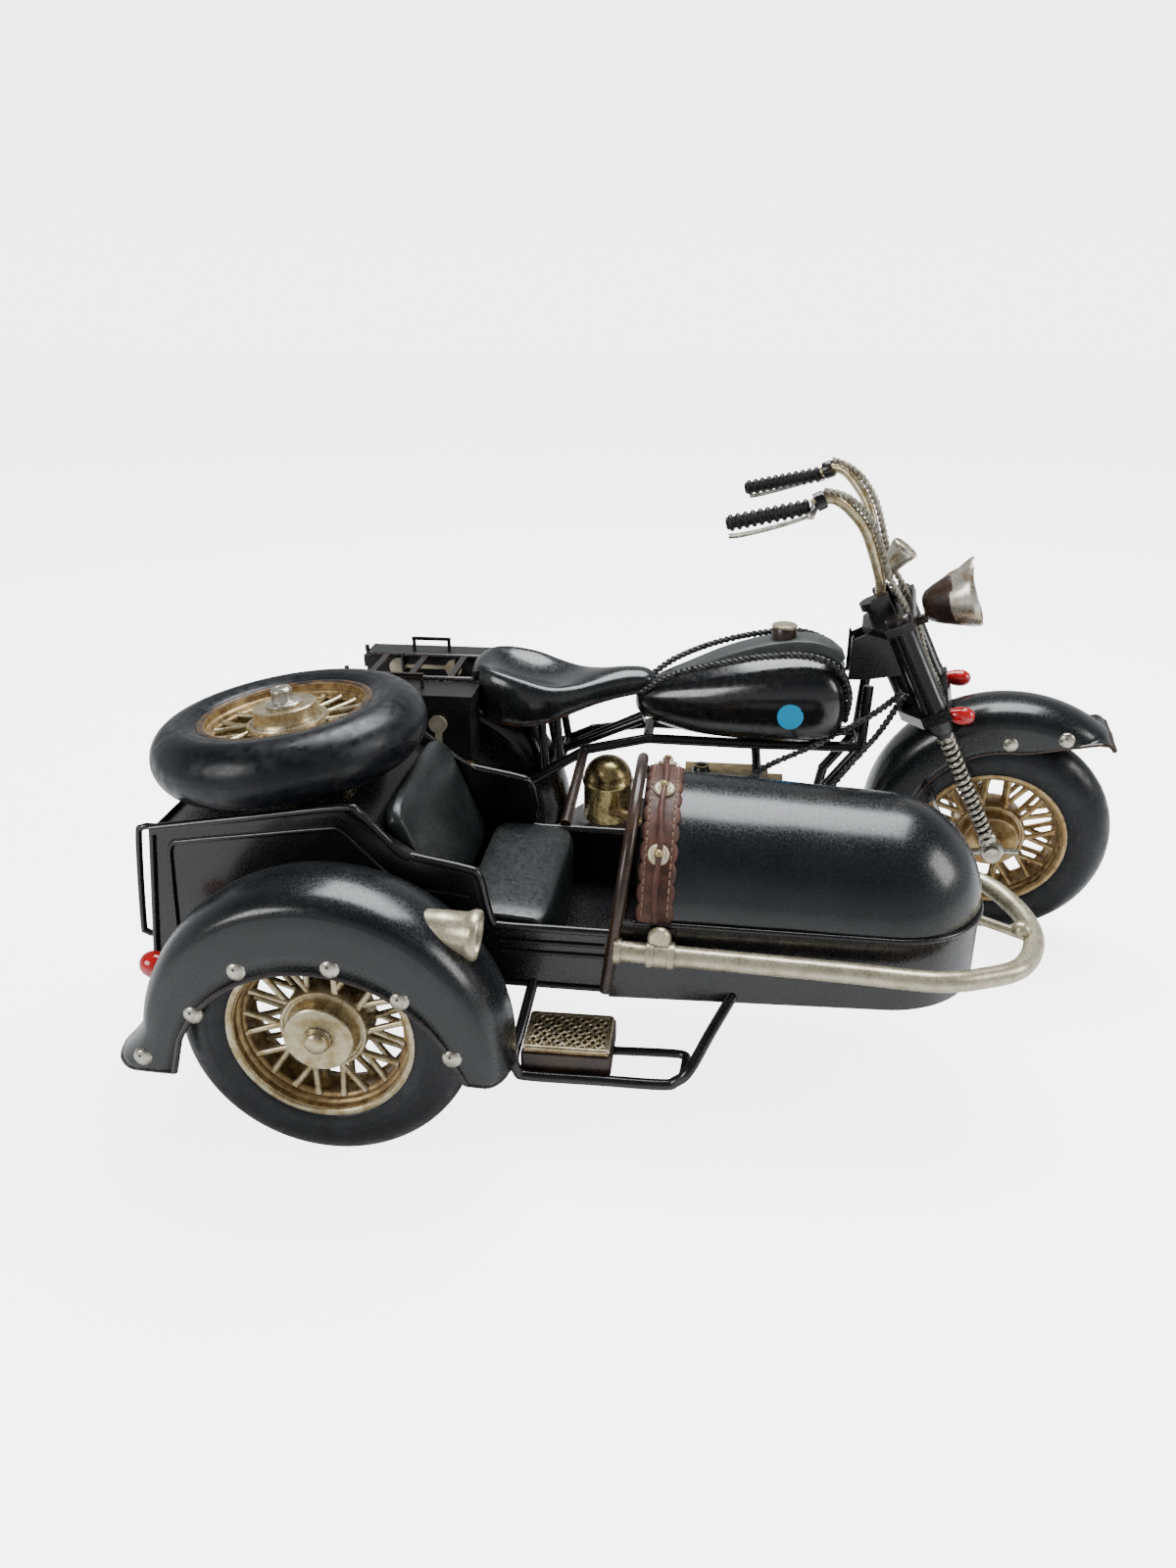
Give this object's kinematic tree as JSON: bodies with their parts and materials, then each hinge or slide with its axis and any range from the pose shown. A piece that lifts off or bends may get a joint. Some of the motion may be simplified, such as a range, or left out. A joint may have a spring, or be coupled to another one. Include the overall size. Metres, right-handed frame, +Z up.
{
  "type": "model motorcycle with sidecar",
  "caption": "Tin display model of a motorcycle with a sidecar, spoked wheels that roll, a sprung-look fork that steers, saddle, luggage boxes and a spare wheel.",
  "frame": {"origin": "on the floor, under the middle of the bounding box", "axes": "+X forward, +Y to the rider's left, +Z up; the sidecar is on the -Y side"},
  "size_m": [0.272, 0.1659, 0.149],
  "materials": {
    "tyre_rubber": "satin moulded rubber",
    "gold_rim": "worn gold paint",
    "silver_metal": "bright plated tin",
    "black_paint": "gloss black with wear",
    "grip_rubber": "matt",
    "black_cable": "twisted cord",
    "brown_black_paint": "aged brown-black paint",
    "lens_glass": "clear",
    "red_plastic": "gloss",
    "gold_paint": "aged gold paint",
    "brass": "aged",
    "champagne_metal": "satin champagne",
    "grey_black_paint": "satin",
    "blue_sticker": "plain sticker",
    "black_seat": "gloss moulded",
    "black_case": "satin",
    "cream_metal": "satin",
    "brown_leather": "waxed"
  },
  "bodies": {
    "chassis": {"spare_tyre": "tyre_rubber", "spare_rim": "gold_rim", "rear_axle": "silver_metal", "side_axle": "silver_metal", "spare_clamp": "silver_metal", "main_frame": "black_paint", "frame_cradle": "black_paint", "engine_block": "brown_black_paint", "head_cover": "gold_paint", "brass_dome": "brass", "exhaust": "champagne_metal", "fuel_tank": "black_paint", "tank_console": "grey_black_paint", "tank_piping": "black_cable", "filler_cap": "brown_black_paint", "tank_badge": "blue_sticker", "saddle": "black_seat", "rear_fender": "black_paint", "luggage_boxes": "black_case", "luggage_rack": "black_paint", "luggage_clasps": "cream_metal", "control_cables": "black_cable", "sidecar_struts": "brown_black_paint", "sidecar_tub": "black_paint", "rear_deck": "black_paint", "sidecar_cowl": "black_paint", "cockpit_hoop": "black_paint", "strap_band": "brown_leather", "strap_eyelets": "cream_metal", "strap_lace": "brown_leather", "crash_rail": "champagne_metal", "rail_clamps": "silver_metal", "sidecar_seat": "black_seat", "step_frame": "black_paint", "step_plate": "gold_paint", "rear_guard": "black_paint", "side_fender": "black_paint", "side_fender_studs": "silver_metal", "fender_lamp": "champagne_metal", "tail_lamp": "red_plastic"},
    "steering": {"fork_tubes": "black_paint", "fork_springs": "silver_metal", "fork_links": "silver_metal", "fork_yokes": "black_paint", "front_fender": "black_paint", "front_fender_studs": "silver_metal", "handlebar": "silver_metal", "grips": "grip_rubber", "headlight_shell": "brown_black_paint", "headlight_lens": "lens_glass", "speedometer": "silver_metal", "indicators": "red_plastic", "steering_cables": "black_cable", "front_axle": "silver_metal"},
    "front_wheel": {"front_tyre": "tyre_rubber", "front_rim": "gold_rim"},
    "rear_wheel": {"rear_tyre": "tyre_rubber", "rear_rim": "gold_rim"},
    "side_wheel": {"side_tyre": "tyre_rubber", "side_rim": "gold_rim"}
  },
  "joints": [
    {"name": "steering", "type": "hinge", "parent": "chassis", "child": "steering", "pos_m": [0.09403, 0.05505, 0.03288], "axis": [-0.4462, 0, 0.8949], "range_deg": [-13.5, 30.5]},
    {"name": "front_wheel_spin", "type": "hinge", "parent": "steering", "child": "front_wheel", "pos_m": [0.10023, 0.05402, 0.03597], "axis": [0.1323, 0.989, 0.066], "continuous": true},
    {"name": "rear_wheel_spin", "type": "hinge", "parent": "chassis", "child": "rear_wheel", "pos_m": [-0.0797, 0.05505, 0.036], "axis": [0, 1, 0], "continuous": true},
    {"name": "side_wheel_spin", "type": "hinge", "parent": "chassis", "child": "side_wheel", "pos_m": [-0.0785, -0.07095, 0.036], "axis": [0, 1, 0], "continuous": true}
  ]
}
